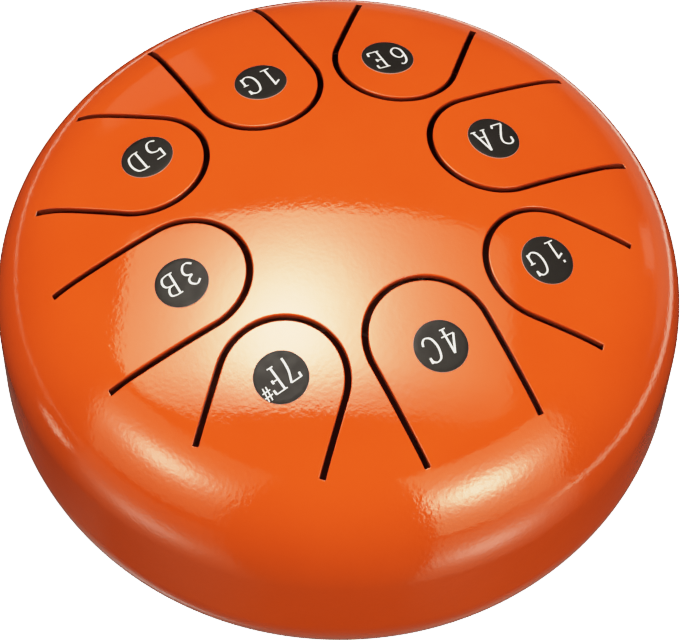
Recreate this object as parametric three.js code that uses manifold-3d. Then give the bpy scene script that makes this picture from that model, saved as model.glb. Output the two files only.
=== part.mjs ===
// A small steel tongue drum: two like pressings, welded rim to rim and painted, on three rubber feet.
// Eight tongues are cut in the top shell by U-shaped slots, and a sound hole opens the bottom shell.
// Millimetres, +Z up. The origin is on the drum's axis, in the plane that the feet stand on.
// The player sits on the -Y side, where the lowest note is, and +Y points away from the player.

import * as THREE from "three";
import { mergeVertices } from "three/addons/utils/BufferGeometryUtils.js";
import Module from "manifold-3d";

// The two shells, pressed in the same die: a straight wall, a shoulder and a shallow crown.
const shellRadius = 100;
const sheetThickness = 2;
const wallHeight = 11; // from the seam to the shoulder
const shoulderRadius = 34.5;
const crownRadius = 228;
const soundHoleRadius = 28;
const soundHoleClearance = 5; // from the table to the hole's edge

// The weld between the rims, ground flush outside and left proud inside.
const weldGap = 1.5;
const weldRootHeight = 0.6;
const weldRootWidth = 0.5;

// The tongues. A slot's sizes are those of its centre line.
const slotWidth = 1.8;
const tongueHalfWidth = 0.178 * shellRadius;
const tonguePitch = 45; // degrees from one tongue to the next

// One row for each tongue, counter-clockwise from the player's side. Lengths are in shell radii.
// turn: its place, in pitches from the player's side
// arcCentre: from the drum's axis to the middle of the round tip
// rootRadius: from the drum's axis to where the slot's two legs stop
// labelOut, labelAside: how far the label sits from the middle of the tip, outward and to the left of outward
const tongues = [
  { note: "1G", turn: 0, arcCentre: 0.495, rootRadius: 0.88, labelOut: 0.01, labelAside: -0.01 },
  { note: "5D", turn: 1, arcCentre: 0.585, rootRadius: 0.875, labelOut: 0, labelAside: -0.024 },
  { note: "3B", turn: 2, arcCentre: 0.495, rootRadius: 0.84, labelOut: 0.018, labelAside: 0.014 },
  { note: "7Fsharp", turn: 3, arcCentre: 0.585, rootRadius: 0.825, labelOut: -0.006, labelAside: -0.005 },
  { note: "4C", turn: 4, arcCentre: 0.495, rootRadius: 0.82, labelOut: 0.035, labelAside: 0.014 },
  { note: "1G_high", turn: 5, arcCentre: 0.6, rootRadius: 0.825, labelOut: -0.005, labelAside: 0.008 },
  { note: "2A", turn: 6, arcCentre: 0.49, rootRadius: 0.865, labelOut: 0.013, labelAside: 0.009 },
  { note: "6E", turn: 7, arcCentre: 0.575, rootRadius: 0.845, labelOut: -0.002, labelAside: 0.024 },
];

// The note labels, stuck on the tongues.
const labelRadius = 7.7;
const labelThickness = 0.2;
const labelGap = 0.15; // keeps a label clear of the crown's flat facets

// The feet. A screw goes up through each foot and the shell, square to the shell, into a nut.
const footCount = 3;
const footCircleRadius = 55; // where the screws cross the shell's outer face
const footTopRadius = 10.5;
const footToeRadius = 9.5;
const footEdgeRadius = 1.2;
const footWellRadius = 4.9; // the well that takes the screw's head
const rubberUnderHead = 3.5; // between the shell and the washer
const washerRadius = 4.5;
const washerThickness = 0.8;
const screwRadius = 2;
const screwHeadRadius = 3.8;
const screwHeadHeight = 2.4;
const screwHeadDome = 1.5; // the part of the head's height that is domed
const screwTipPastNut = 1;
const screwTipChamfer = 0.5;
const recessLength = 4.4; // the cross in the screw's head
const recessWidth = 0.9;
const recessDepth = 1.4;
const nutAcrossFlats = 7;
const nutHeight = 3.2;
const screwClearance = 0.25; // around the screw, in the foot, washer and shell
const threadClearance = 0.15; // around the screw, in the nut
const seatGap = 0.3; // between pieces that are pressed together by the screw

// How finely the round shapes are faceted.
const shellSegments = 64;
const crownSteps = 5;
const shoulderSteps = 6;
const slotArcSteps = 16;
const labelSteps = 2;
const footEdgeSteps = 3;
const screwHeadSteps = 3;
const smallSegments = 20;

// Places that follow from the sizes above. Heights are from the table.
const quarterTurn = Math.PI / 2;
const crownEdgeAngle = Math.asin((shellRadius - shoulderRadius) / (crownRadius - shoulderRadius));
const crownCentreRise = wallHeight - (crownRadius - shoulderRadius) * Math.cos(crownEdgeAngle);
const holeEdgeRise = crownCentreRise + Math.sqrt(crownRadius ** 2 - soundHoleRadius ** 2);
const seamHeight = soundHoleClearance + holeEdgeRise;
const topCentreHeight = seamHeight + crownCentreRise;
const baseCentreHeight = seamHeight - crownCentreRise;
const crownHeight = topCentreHeight + crownRadius;
const footTilt = Math.asin(footCircleRadius / crownRadius);
const footSeatHeight = baseCentreHeight - crownRadius * Math.cos(footTilt);

const wasm = await Module();
wasm.setup();

const enamel = new THREE.MeshStandardMaterial({ color: 0xe2560f, roughness: 0.18, metalness: 0 });
const vinyl = new THREE.MeshStandardMaterial({ color: 0x35302e, roughness: 0.5, metalness: 0 });
const rubber = new THREE.MeshStandardMaterial({ color: 0x17171a, roughness: 0.85, metalness: 0 });
const zinc = new THREE.MeshStandardMaterial({ color: 0xb9bcc0, roughness: 0.35, metalness: 1 });

const drum = new THREE.Group();
drum.name = "tongue_drum";

function addPiece(name, geometry, material) {
  const piece = new THREE.Mesh(geometry, material);
  piece.name = name;
  drum.add(piece);
  return piece;
}

// A closed geometry as a solid that can be cut and joined.
function solidFrom(geometry) {
  const bare = geometry.clone();
  bare.deleteAttribute("normal");
  bare.deleteAttribute("uv");
  const merged = mergeVertices(bare, 1e-4);
  const corners = merged.index.array;
  const kept = [];
  for (let i = 0; i < corners.length; i += 3) {
    const [a, b, c] = [corners[i], corners[i + 1], corners[i + 2]];
    if (a !== b && b !== c && c !== a) kept.push(a, b, c);
  }
  return new wasm.Manifold(
    new wasm.Mesh({
      numProp: 3,
      vertProperties: new Float32Array(merged.attributes.position.array),
      triVerts: new Uint32Array(kept),
    }),
  );
}

function geometryFrom(solid) {
  const mesh = solid.getMesh();
  const geometry = new THREE.BufferGeometry();
  geometry.setAttribute("position", new THREE.BufferAttribute(mesh.vertProperties, 3));
  geometry.setIndex(new THREE.BufferAttribute(mesh.triVerts, 1));
  geometry.computeVertexNormals();
  return geometry;
}

function cutAll(geometry, cutters) {
  let solid = solidFrom(geometry);
  for (const cutter of cutters) solid = solid.subtract(solidFrom(cutter));
  return geometryFrom(solid);
}

// Points of an arc in a profile, as radius and height. Angles are measured from straight up.
function profileArc(radius, height, arcRadius, from, to, steps) {
  const points = [];
  for (let i = 0; i <= steps; i++) {
    const angle = from + ((to - from) * i) / steps;
    points.push(
      new THREE.Vector2(radius + arcRadius * Math.sin(angle), height + arcRadius * Math.cos(angle)),
    );
  }
  return points;
}

// LatheGeometry turns its profile about Y, and the drum stands along Z.
function turned(points, segments) {
  return new THREE.LatheGeometry(points, segments).rotateX(quarterTurn);
}

// A plain round cutter about Z, from one height to another.
function roundCutter(radius, low, high) {
  const cutter = new THREE.CylinderGeometry(radius, radius, high - low, smallSegments);
  return cutter.rotateX(quarterTurn).translate(0, 0, (low + high) / 2);
}

// A pressing's skin at a depth below its outer face, from its opening or its middle to its rim.
// A point holds a radius and a rise from the seam.
function pressedSkin(depth, openingRadius) {
  const crown = profileArc(
    0,
    crownCentreRise,
    crownRadius - depth,
    Math.asin(openingRadius / (crownRadius - depth)),
    crownEdgeAngle,
    crownSteps,
  );
  const shoulder = profileArc(
    shellRadius - shoulderRadius,
    wallHeight,
    shoulderRadius - depth,
    crownEdgeAngle,
    quarterTurn,
    shoulderSteps,
  );
  const rim = new THREE.Vector2(shellRadius - depth, weldGap / 2);
  return [...crown, ...shoulder.slice(1), rim];
}

// A pressing with its crown up and the seam at height 0. An opening radius of 0 leaves it whole.
function pressing(openingRadius) {
  const inside = pressedSkin(sheetThickness, openingRadius);
  const outside = pressedSkin(0, openingRadius);
  const profile = [...inside, ...outside.reverse()];
  if (openingRadius > 0) profile.push(inside[0]);
  return turned(profile, shellSegments);
}

// A tongue's slot, seen from above with the tongue pointing along +X: two legs and a round tip.
function slotOutline(tongue) {
  const outer = tongueHalfWidth + slotWidth / 2;
  const inner = tongueHalfWidth - slotWidth / 2;
  const tip = tongue.arcCentre * shellRadius;
  const legEnd = Math.sqrt((tongue.rootRadius * shellRadius) ** 2 - tongueHalfWidth ** 2);
  const outline = [new THREE.Vector2(legEnd, outer)];
  for (let i = 0; i <= slotArcSteps; i++) {
    const angle = quarterTurn + (Math.PI * i) / slotArcSteps;
    outline.push(new THREE.Vector2(tip + outer * Math.cos(angle), outer * Math.sin(angle)));
  }
  outline.push(new THREE.Vector2(legEnd, -outer), new THREE.Vector2(legEnd, -inner));
  for (let i = slotArcSteps; i >= 0; i--) {
    const angle = quarterTurn + (Math.PI * i) / slotArcSteps;
    outline.push(new THREE.Vector2(tip + inner * Math.cos(angle), inner * Math.sin(angle)));
  }
  outline.push(new THREE.Vector2(legEnd, inner));
  return new THREE.Shape(outline);
}

function tongueAngle(tongue) {
  return THREE.MathUtils.degToRad(tongue.turn * tonguePitch - 90);
}

function slotCutter(tongue) {
  const cutter = new THREE.ExtrudeGeometry(slotOutline(tongue), {
    depth: crownHeight - seamHeight,
    bevelEnabled: false,
  });
  cutter.translate(0, 0, seamHeight + weldGap);
  return cutter.rotateZ(tongueAngle(tongue));
}

// A foot's own axes: the origin is where its screw crosses the shell's outer face, and +Z points along
// the screw into the drum.
function footAxes(index) {
  const axes = new THREE.Group();
  const angle = quarterTurn + (2 * Math.PI * index) / footCount;
  axes.position.set(
    footCircleRadius * Math.cos(angle),
    footCircleRadius * Math.sin(angle),
    footSeatHeight,
  );
  axes.rotation.order = "ZYX";
  axes.rotation.y = -footTilt;
  axes.rotation.z = angle;
  axes.updateMatrix();
  return axes;
}

function addTopShell() {
  const shell = pressing(0).translate(0, 0, seamHeight);
  addPiece("top_shell", cutAll(shell, tongues.map(slotCutter)), enamel);
}

// The bottom shell is the same pressing the other way up, with a sound hole in the middle.
function addBottomShell() {
  const shell = pressing(soundHoleRadius).rotateX(2 * quarterTurn).translate(0, 0, seamHeight);
  const screwHoles = [];
  for (let i = 0; i < footCount; i++) {
    const hole = roundCutter(screwRadius + screwClearance, -sheetThickness, 2 * sheetThickness);
    screwHoles.push(hole.applyMatrix4(footAxes(i).matrix));
  }
  addPiece("bottom_shell", cutAll(shell, screwHoles), enamel);
}

// The weld bead fills the gap between the rims, and its root stands a little proud inside.
function addSeamWeld() {
  const inside = shellRadius - sheetThickness;
  const half = weldGap / 2;
  const rootHalf = weldRootWidth / 2;
  const outerLow = new THREE.Vector2(shellRadius, seamHeight - half);
  const profile = [
    outerLow,
    new THREE.Vector2(shellRadius, seamHeight + half),
    new THREE.Vector2(inside, seamHeight + half),
    new THREE.Vector2(inside - weldRootHeight, seamHeight + rootHalf),
    new THREE.Vector2(inside - weldRootHeight, seamHeight - rootHalf),
    new THREE.Vector2(inside, seamHeight - half),
    outerLow,
  ];
  addPiece("seam_weld", turned(profile, shellSegments), enamel);
}

// A label is a disc that follows the crown's curve. It is turned about the crown's own centre.
function addLabels() {
  const low = crownRadius + labelGap;
  const high = low + labelThickness;
  const reach = Math.asin(labelRadius / crownRadius);
  const profile = [
    ...profileArc(0, 0, low, 0, reach, labelSteps),
    ...profileArc(0, 0, high, reach, 0, labelSteps),
  ];
  for (const tongue of tongues) {
    const label = addPiece("note_label_" + tongue.note, turned(profile, smallSegments), vinyl);
    const out = (tongue.arcCentre + tongue.labelOut) * shellRadius;
    const aside = tongue.labelAside * shellRadius;
    const distance = Math.hypot(out, aside);
    label.position.z = topCentreHeight;
    label.rotation.order = "ZYX";
    label.rotation.y = Math.asin(distance / crownRadius);
    label.rotation.z = tongueAngle(tongue) + Math.atan2(aside, out);
  }
}

// A moulded foot stands straight up, midway between its screw's place at the shell and at the table.
// Its top is cut to the shell's slope, and its hole and well follow the screw.
function footGeometry(axes) {
  const shift = (footSeatHeight * Math.tan(footTilt)) / 2;
  const top = footSeatHeight + footTopRadius;
  const toe = profileArc(
    footToeRadius - footEdgeRadius,
    footEdgeRadius,
    footEdgeRadius,
    Math.PI,
    quarterTurn,
    footEdgeSteps,
  );
  const profile = [
    new THREE.Vector2(0, 0),
    ...toe,
    new THREE.Vector2(footTopRadius, footSeatHeight),
    new THREE.Vector2(footTopRadius, top),
    new THREE.Vector2(0, top),
  ];
  const body = turned(profile, smallSegments);
  const outward = 1 + shift / footCircleRadius;
  body.translate(axes.position.x * outward, axes.position.y * outward, 0);

  const shellSide = new THREE.BoxGeometry(4 * footTopRadius, 4 * footTopRadius, 2 * top);
  shellSide.translate(0, 0, top - seatGap);
  const low = -2 * footSeatHeight;
  const bore = roundCutter(screwRadius + screwClearance, low, top);
  const well = roundCutter(footWellRadius, low, -rubberUnderHead);
  const cutters = [shellSide, bore, well].map((cutter) => cutter.applyMatrix4(axes.matrix));
  return cutAll(body, cutters);
}

function washerGeometry() {
  const high = -rubberUnderHead - seatGap;
  const low = high - washerThickness;
  const bore = screwRadius + screwClearance;
  const profile = [
    new THREE.Vector2(bore, low),
    new THREE.Vector2(washerRadius, low),
    new THREE.Vector2(washerRadius, high),
    new THREE.Vector2(bore, high),
    new THREE.Vector2(bore, low),
  ];
  return turned(profile, smallSegments);
}

// A pan-head screw, head down, with a cross recess.
function screwGeometry() {
  const headHigh = -rubberUnderHead - washerThickness - 2 * seatGap;
  const headLow = headHigh - screwHeadHeight;
  const tip = sheetThickness + seatGap + nutHeight + screwTipPastNut;
  const profile = [];
  for (let i = 0; i <= screwHeadSteps; i++) {
    const angle = (quarterTurn * i) / screwHeadSteps;
    const rise = screwHeadDome * (1 - Math.cos(angle));
    profile.push(new THREE.Vector2(screwHeadRadius * Math.sin(angle), headLow + rise));
  }
  profile.push(
    new THREE.Vector2(screwHeadRadius, headHigh),
    new THREE.Vector2(screwRadius, headHigh),
    new THREE.Vector2(screwRadius, tip - screwTipChamfer),
    new THREE.Vector2(screwRadius - screwTipChamfer, tip),
    new THREE.Vector2(0, tip),
  );
  const recess = [
    new THREE.BoxGeometry(recessLength, recessWidth, 2 * recessDepth),
    new THREE.BoxGeometry(recessWidth, recessLength, 2 * recessDepth),
  ];
  for (const bar of recess) bar.translate(0, 0, headLow);
  return cutAll(turned(profile, smallSegments), recess);
}

function nutGeometry() {
  const corner = nutAcrossFlats / 2 / Math.cos(Math.PI / 6);
  const corners = [];
  for (let i = 0; i < 6; i++) {
    const angle = (Math.PI * i) / 3;
    corners.push(new THREE.Vector2(corner * Math.cos(angle), corner * Math.sin(angle)));
  }
  const outline = new THREE.Shape(corners);
  const bore = new THREE.Path();
  bore.absarc(0, 0, screwRadius + threadClearance, 0, 2 * Math.PI, true);
  outline.holes.push(bore);
  const nut = new THREE.ExtrudeGeometry(outline, { depth: nutHeight, bevelEnabled: false });
  return nut.translate(0, 0, sheetThickness + seatGap);
}

function addFeet() {
  const fixings = [
    ["foot_washer", washerGeometry()],
    ["foot_screw", screwGeometry()],
    ["foot_nut", nutGeometry()],
  ];
  for (let i = 0; i < footCount; i++) {
    const axes = footAxes(i);
    drum.add(axes);
    addPiece("foot_" + (i + 1), footGeometry(axes), rubber);
    for (const [name, geometry] of fixings) {
      axes.add(addPiece(name + "_" + (i + 1), geometry, zinc));
    }
  }
}

addTopShell();
addBottomShell();
addSeamWeld();
addLabels();
addFeet();

export default drum;
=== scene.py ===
# A small steel tongue drum in orange enamel, standing on three rubber feet on a pale studio floor.
# Metres, +Z up. The player sits on the -Y side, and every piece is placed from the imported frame.

from math import asin, atan2, cos, hypot, pi, radians, sin, sqrt, tan

import bpy
from mathutils import Matrix, Vector
from mathutils.geometry import delaunay_2d_cdt
from mathutils.kdtree import KDTree


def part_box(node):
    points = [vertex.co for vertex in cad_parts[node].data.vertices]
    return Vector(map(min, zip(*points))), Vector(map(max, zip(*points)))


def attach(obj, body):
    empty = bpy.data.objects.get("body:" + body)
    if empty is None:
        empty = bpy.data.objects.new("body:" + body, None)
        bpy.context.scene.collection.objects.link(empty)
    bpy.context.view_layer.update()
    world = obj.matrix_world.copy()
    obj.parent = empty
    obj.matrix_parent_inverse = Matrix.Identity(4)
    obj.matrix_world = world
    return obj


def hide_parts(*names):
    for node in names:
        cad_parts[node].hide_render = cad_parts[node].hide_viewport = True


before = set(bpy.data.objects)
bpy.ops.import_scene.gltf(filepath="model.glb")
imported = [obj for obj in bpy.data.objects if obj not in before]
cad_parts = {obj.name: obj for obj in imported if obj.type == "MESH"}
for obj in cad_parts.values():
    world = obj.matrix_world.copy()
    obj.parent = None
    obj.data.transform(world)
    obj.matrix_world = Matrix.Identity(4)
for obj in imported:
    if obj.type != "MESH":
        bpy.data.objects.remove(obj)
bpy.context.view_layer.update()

# Top shell
# A steel disc pressed to a dome in a die, with eight tongues freed by U-shaped laser cuts. The length of
# a tongue sets its note. The shell is welded to its twin at the rim and baked in orange enamel.

mm = 0.001
shell_low, shell_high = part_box("top_shell")
shell_radius = shell_high.x
sheet = 2 * mm
weld_gap = 1.5 * mm
seam = shell_low.z - weld_gap / 2
crown_radius = 228 * mm
shoulder_radius = 34.5 * mm
shoulder_reach = shell_radius - shoulder_radius
crown_edge = asin(shoulder_reach / (crown_radius - shoulder_radius))
crown_centre = shell_high.z - crown_radius
shoulder_centre = crown_centre + (crown_radius - shoulder_radius) * cos(crown_edge)

slot_width = 1.8 * mm
tongue_half_width = 17.8 * mm
slot_edge_round = 0.3 * mm
slot_corner = 0.25 * mm
tongue_sizes = [  # middle of the round tip and end of the slots, from the drum's axis
    ("1G", 49.5 * mm, 88.0 * mm),
    ("5D", 58.5 * mm, 87.5 * mm),
    ("3B", 49.5 * mm, 84.0 * mm),
    ("7Fsharp", 58.5 * mm, 82.5 * mm),
    ("4C", 49.5 * mm, 82.0 * mm),
    ("1G_high", 60.0 * mm, 82.5 * mm),
    ("2A", 49.0 * mm, 86.5 * mm),
    ("6E", 57.5 * mm, 84.5 * mm),
]

face_spacing = 2.5 * mm
face_reach = 92 * mm
shell_around = 240
shoulder_steps = 16
face_up = Matrix.Identity(3)


def skin_height(radius, depth):
    """How high the top shell is at a distance from the axis, at a depth in its sheet."""
    crown = crown_radius - depth
    if radius <= crown * sin(crown_edge):
        return crown_centre + sqrt(crown**2 - radius**2)
    shoulder = shoulder_radius - depth
    return shoulder_centre + sqrt(shoulder**2 - (radius - shoulder_reach) ** 2)


def skin_normal(point):
    """The way out of the top shell at a point in its sheet."""
    radius = hypot(point.x, point.y)
    lean = atan2(radius, point.z - crown_centre)
    if lean > crown_edge:
        lean = atan2(radius - shoulder_reach, point.z - shoulder_centre)
    turn = atan2(point.y, point.x)
    return Vector((sin(lean) * cos(turn), sin(lean) * sin(turn), cos(lean)))


def skin_point(axes, x, y, depth):
    """A point of the top shell, from its place in axes that meet the crown's own centre."""
    lift = skin_height(hypot(x, y), depth) - crown_centre
    return Vector((0, 0, crown_centre)) + axes @ Vector((x, y, lift))


def ways_round(start, end, steps):
    """Level ways, from one turn to another."""
    turns = [start + (end - start) * step / steps for step in range(steps + 1)]
    return [Vector((cos(turn), sin(turn))) for turn in turns]


def round_hole(steps):
    """The edge of a round hole, as its middle with the ways to the edge."""
    return [(Vector((0, 0)), way) for way in ways_round(0, 2 * pi, steps)[:-1]]


def leg_end(x, y):
    """The square end of a slot's leg, with both corners a little round."""
    end = []
    for side, start in ((-1, -pi / 2), (1, 0)):
        corner = Vector((x - slot_corner, y + side * (slot_width / 2 - slot_corner)))
        for way in ways_round(start, start + pi / 2, 3):
            end.append((corner - way * (slot_width / 2 - slot_corner), way))
    return end


def tongue_slot(turn, arc_centre, root_radius):
    """The cut round one tongue, as places on its middle line with the way to the edge."""
    leg_stop = sqrt(root_radius**2 - tongue_half_width**2)
    leg_steps = round((leg_stop - arc_centre) / (1.5 * mm))
    leg = [arc_centre + (leg_stop - arc_centre) * step / leg_steps for step in range(1, leg_steps)]
    left = [Vector((x, tongue_half_width)) for x in leg]
    right = [Vector((x, -tongue_half_width)) for x in leg]
    up = Vector((0, 1))
    tip = [
        (Vector((arc_centre, 0)) + way * tongue_half_width, way)
        for way in ways_round(pi / 2, 3 * pi / 2, 48)
    ]
    edge = [(place, up) for place in reversed(left)] + tip
    edge += [(place, -up) for place in right]
    edge += leg_end(leg_stop, -tongue_half_width)
    edge += [(place, up) for place in reversed(right)]
    edge += [(place, -way) for place, way in reversed(tip)]
    edge += [(place, -up) for place in left]
    edge += leg_end(leg_stop, tongue_half_width)
    rotation = Matrix.Rotation(turn, 2)
    return [(rotation @ place, rotation @ way) for place, way in edge]


def net(loops, reach, spacing):
    """Triangles that fill a disc. The loops are kept as edges, and a triangle lists those it is in."""
    corners = [corner for loop in loops for corner in loop]
    least = 0.6 * spacing
    near = KDTree(len(corners))
    for index, corner in enumerate(corners):
        near.insert(corner.to_3d(), index)
    near.balance()
    rows = int(reach / spacing * 1.2)  # more than fit across, since rows are closer than the spacing
    for row in range(-rows, rows + 1):
        for column in range(-rows, rows + 1):
            place = Vector(((column + row % 2 / 2) * spacing, row * spacing * sin(pi / 3)))
            if near.find(place.to_3d())[2] > least and place.length < reach - least:
                corners.append(place)
    starts = [sum(len(loop) for loop in loops[:index]) for index in range(len(loops))]
    rings = [list(range(start, start + len(loop))) for start, loop in zip(starts, loops)]
    spots, _, triangles, origins, _, owners = delaunay_2d_cdt(corners, [], rings[1:], 0, 1e-6, True)
    return spots, triangles, origins, owners


def spots_at(corners, spots):
    """Which spots of a net its corners became."""
    nearest = KDTree(len(spots))
    for index, spot in enumerate(spots):
        nearest.insert(spot.to_3d(), index)
    nearest.balance()
    return [nearest.find(corner.to_3d())[1] for corner in corners]


def band(upper, lower):
    """Four-cornered faces between two closed rows of points."""
    faces = []
    for step in range(len(upper)):
        follow = (step + 1) % len(upper)
        faces.append([upper[step], lower[step], lower[follow], upper[follow]])
    return faces


def pressed_shell(openings):
    """A pressing with its crown up: points, normals, faces of the outside, of the cuts and of the inside.
    An opening is its axes, its half width and its edge, as places with the way to the edge."""
    rim_turns = [2 * pi * step / shell_around for step in range(shell_around)]
    homes = [(face_up, Vector((face_reach * cos(turn), face_reach * sin(turn)))) for turn in rim_turns]
    for axes, half, edge in openings:
        homes += [(axes, place + way * (half + slot_edge_round)) for place, way in edge]
    flat = [skin_point(axes, *place, 0).xy for axes, place in homes]
    loops = [flat[:shell_around]]
    start = shell_around
    for _, _, edge in openings:
        loops.append(flat[start : start + len(edge)])
        start += len(edge)
    spots, triangles, origins, owners = net(loops, face_reach, face_spacing)
    inner_of = {}
    outer_of = {}
    points = []
    normals = []
    outside = []
    walls = []
    inside = []

    def add(point, normal):
        points.append(point)
        normals.append(normal)
        return len(points) - 1

    for triangle, holes in zip(triangles, owners):
        if holes:
            continue
        for spot in triangle:
            origin = origins[spot][0]
            if origin not in outer_of:
                axes, place = homes[origin] if origin < len(homes) else (face_up, spots[spot])
                for depth, found, side in ((0, outer_of, 1), (sheet, inner_of, -1)):
                    point = skin_point(axes, *place, depth)
                    found[origin] = add(point, side * skin_normal(point))
        outside.append([outer_of[origins[spot][0]] for spot in triangle])
        inside.append([inner_of[origins[spot][0]] for spot in reversed(triangle)])

    def join(upper, lower, faces):
        for step in range(len(upper)):
            follow = (step + 1) % len(upper)
            faces.append((upper[step], upper[follow], lower[follow], lower[step]))

    quarter = [radians(22.5) * step for step in range(5)]
    start = shell_around
    for axes, half, edge in openings:
        rows = [[outer_of[start + step] for step in range(len(edge))]]
        corners = [(turn, slot_edge_round * (1 - cos(turn))) for turn in quarter[1:]]
        corners += [(pi - turn, sheet - slot_edge_round * (1 - cos(turn))) for turn in reversed(quarter[1:])]
        for turn, depth in corners:
            row = []
            for place, way in edge:
                home = place + way * (half + slot_edge_round * (1 - sin(turn)))
                point = skin_point(axes, *home, depth)
                normal = skin_normal(point) * cos(turn) - axes @ way.to_3d() * sin(turn)
                row.append(add(point, normal.normalized()))
            rows.append(row)
        rows.append([inner_of[start + step] for step in range(len(edge))])
        for index, (upper, lower) in enumerate(zip(rows, rows[1:])):
            join(upper, lower, outside if index < 2 else walls)
        start += len(edge)

    def shoulder(depth, side):
        bend = shoulder_radius - depth
        first = asin((face_reach - shoulder_reach) / bend)
        path = []
        for step in range(1, shoulder_steps + 1):
            lean = first + (pi / 2 - first) * step / shoulder_steps
            out = sin(lean)
            up = cos(lean)
            path.append((shoulder_reach + bend * out, shoulder_centre + bend * up, out * side, up * side))
        return path

    rim = seam + weld_gap / 2
    outer_path = shoulder(0, 1) + [(shell_radius, rim, 1, 0)]
    inner_path = [(shell_radius - sheet, rim, -1, 0)] + shoulder(sheet, -1)[::-1]
    rows = []
    for radius, height, out, up in outer_path + inner_path:
        row = []
        for turn in rim_turns:
            around = Vector((cos(turn), sin(turn), 0))
            row.append(add(around * radius + Vector((0, 0, height)), around * out + Vector((0, 0, up))))
        rows.append(row)
    outer_rows = [[outer_of[step] for step in range(shell_around)]] + rows[: len(outer_path)]
    inner_rows = rows[len(outer_path) :] + [[inner_of[step] for step in range(shell_around)]]
    for upper, lower in zip(outer_rows, outer_rows[1:]):
        join(lower, upper, outside)
    for lower, upper in zip(inner_rows, inner_rows[1:]):
        join(upper, lower, inside)
    face_down = Vector((0, 0, -1))
    rim_edges = []
    for row in (inner_rows[0], outer_rows[-1]):
        rim_edges.append([add(points[corner], face_down) for corner in row])
    rim_faces = []
    join(*rim_edges, rim_faces)
    return points, normals, outside, walls, inside + rim_faces


def placed(mesh, finishes):
    """The mesh as an object with its finishes."""
    for finish in finishes:
        mesh.materials.append(finish)
    piece = bpy.data.objects.new(mesh.name, mesh)
    bpy.context.scene.collection.objects.link(piece)
    return piece


def shell_piece(name, openings, placing, finishes):
    """A pressed shell as an object, with its true normals: enamelled outside, dull in the cuts and inside."""
    points, normals, outside, walls, inside = pressed_shell(openings)
    mesh = bpy.data.meshes.new(name)
    faces = outside + walls + inside
    mesh.from_pydata([placing @ point for point in points], [], faces)
    kinds = [0] * len(outside) + [1] * len(walls) + [2] * len(inside)
    for face, kind in zip(mesh.polygons, kinds):
        face.material_index = kind
    turned = placing.to_3x3()
    mesh.shade_smooth()
    mesh.normals_split_custom_set([turned @ normals[corner] for face in faces for corner in face])
    return placed(mesh, finishes)


class Wire:
    """An output socket in a material. Arithmetic on it adds Math nodes."""

    def __init__(self, socket):
        self.socket = socket

    def node(self, kind, settings, sockets, output=0):
        """Adds a node: its settings come first, then the values or wires of its sockets. Gives one output."""
        tree = self.socket.id_data
        made = tree.nodes.new("ShaderNode" + kind)
        for name, value in settings.items():
            setattr(made, name, value)
        for name, value in sockets.items():
            if isinstance(value, Wire):
                tree.links.new(value.socket, made.inputs[name])
            else:
                made.inputs[name].default_value = value
        return Wire(made.outputs[output]) if made.outputs else None

    def sum(self, operation, first, second):
        return self.node("Math", {"operation": operation}, {0: first, 1: second})

    def __add__(self, other):
        return self.sum("ADD", self, other)

    def __radd__(self, other):
        return self.sum("ADD", other, self)

    def __sub__(self, other):
        return self.sum("SUBTRACT", self, other)

    def __rsub__(self, other):
        return self.sum("SUBTRACT", other, self)

    def __mul__(self, other):
        return self.sum("MULTIPLY", self, other)

    def __rmul__(self, other):
        return self.sum("MULTIPLY", other, self)


def new_finish(name):
    """A new material, and the place on the piece that its patterns are read at."""
    finish = bpy.data.materials.new(name)
    finish.use_nodes = True
    finish.node_tree.nodes.clear()
    return finish, Wire(finish.node_tree.nodes.new("ShaderNodeTexCoord").outputs["Object"])


def noise(place, size, detail=2):
    """Soft lumps of about a size, from 0 to 1."""
    return place.node("TexNoise", {}, {"Vector": place, "Scale": 1 / size, "Detail": detail})


def between(value, low, high, start=0, end=1):
    """A value taken from one range to another, held at the ends."""
    limits = {"From Min": low, "From Max": high, "To Min": start, "To Max": end}
    return value.node("MapRange", {"interpolation_type": "SMOOTHSTEP"}, {"Value": value, **limits})


def distance(place, spot):
    """How far a place is from a spot."""
    return place.node("VectorMath", {"operation": "DISTANCE"}, {0: place, 1: spot}, 1)


def mixed(mask, first, second):
    """One colour where the mask is 0 and another where it is 1."""
    return mask.node("Mix", {"data_type": "RGBA"}, {0: mask, 6: first, 7: second}, 2)


def bumped(height, depth):
    """The surface's normal over lumps, where a height of 1 stands for a depth."""
    return height.node("Bump", {}, {"Height": height, "Strength": 1, "Distance": depth})


def finished(finish, place, sockets):
    """The finish, with its surface made from the sockets' values and wires."""
    surface = place.node("BsdfPrincipled", {}, sockets)
    place.node("OutputMaterial", {}, {"Surface": surface})
    return finish


def orange_enamel():
    """Sprayed and baked gloss enamel, with a faint change of tone and orange peel in its gloss. The peel
    is stronger on the shoulder, where the spray met the sheet at a slant."""
    finish, place = new_finish("orange_enamel")
    tone = between(noise(place, 35 * mm, 3), 0.3, 0.7)
    colour = mixed(tone, (0.79, 0.084, 0.0086, 1), (0.83, 0.091, 0.0100, 1))
    flat = place.node("VectorMath", {"operation": "MULTIPLY"}, {0: place, 1: (1, 1, 0)})
    slanted = between(distance(flat, (0, 0, 0)), 0.7 * shell_radius, 0.93 * shell_radius, 1, 2.6)
    peel = noise(place, 1.2 * mm, 3) * slanted * 1.9 + noise(place, 4 * mm) * slanted * 1.4
    peel = peel + noise(place, 25 * mm) * 3
    normal = bumped(peel, 0.012 * mm)
    haze = between(noise(place, 3 * mm, 4), 0.35, 0.7, 0.04, 0.07)
    return finished(
        finish,
        place,
        {
            "Base Color": colour,
            "Roughness": haze,
            "IOR": 1.85,
            "Specular Tint": (1, 0.96, 0.68, 1),
            "Normal": normal,
        },
    )


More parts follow.
